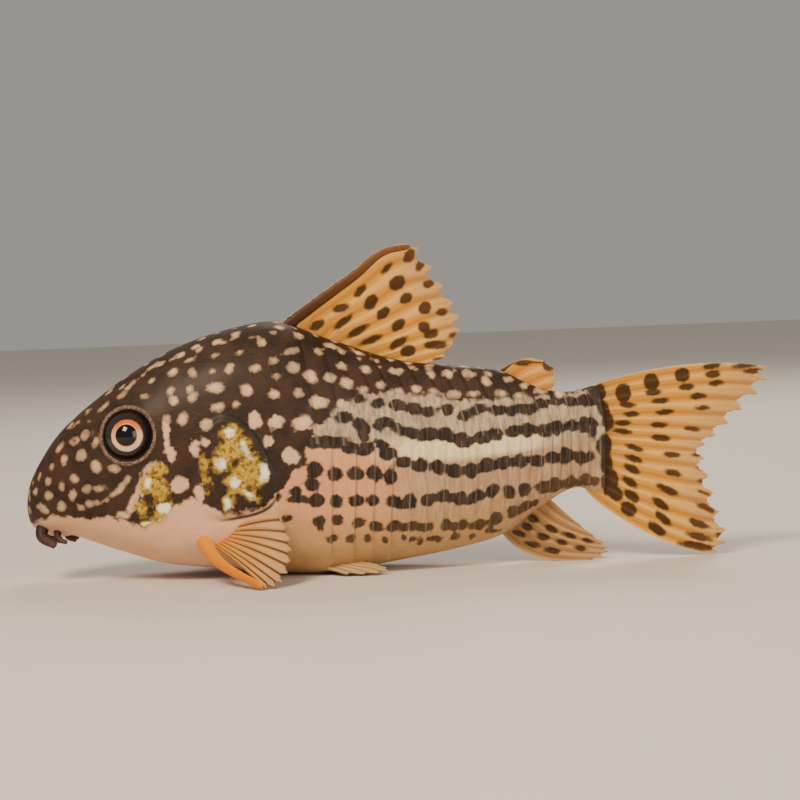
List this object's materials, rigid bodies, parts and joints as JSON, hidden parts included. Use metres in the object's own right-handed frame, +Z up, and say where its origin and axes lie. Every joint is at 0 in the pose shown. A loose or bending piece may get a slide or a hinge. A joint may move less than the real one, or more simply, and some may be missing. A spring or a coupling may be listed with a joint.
{
  "type": "corydoras catfish model",
  "caption": "Life-size still model of a corydoras catfish at rest on its fins and belly, with barbels, bony side plates, spined fins and a forked tail.",
  "frame": {"origin": "centre of the model's bounding box at floor level", "axes": "+X from the snout towards the tail, +Y towards the fish's right side, +Z up"},
  "size_m": [0.0714, 0.028, 0.0307],
  "materials": {
    "skin": "satin, as wet skin over bony plates, dark brown with pale spots over a silvery tan flank",
    "gill_cover": "glossy, golden brown with near-white glints",
    "eye": "polished, orange gold iris round a black pupil",
    "barbel": "soft satin, dark brown paling to the tip",
    "spine": "satin, brown with a pale leading edge",
    "orange_spine": "satin, bright orange",
    "fin": "satin amber membrane over darker spotted rays"
  },
  "bodies": {
    "root": {"head": "skin", "trunk": "skin", "tail_stem": "skin", "gill_cover_left": "gill_cover", "gill_cover_right": "gill_cover", "eye_left": "eye", "eye_right": "eye", "upper_barbel_left": "barbel", "upper_barbel_right": "barbel", "lower_barbel_left": "barbel", "lower_barbel_right": "barbel", "chin_barbel_left": "barbel", "chin_barbel_right": "barbel", "dorsal_spine": "spine", "dorsal_fin": "fin", "adipose_spine": "spine", "adipose_fin": "fin", "tail_fin_upper": "fin", "tail_fin_lower": "fin", "anal_fin": "fin", "pectoral_spine_left": "orange_spine", "pectoral_spine_right": "orange_spine", "pectoral_fin_left": "fin", "pectoral_fin_right": "fin", "pelvic_fin_left": "fin", "pelvic_fin_right": "fin"}
  },
  "joints": []
}
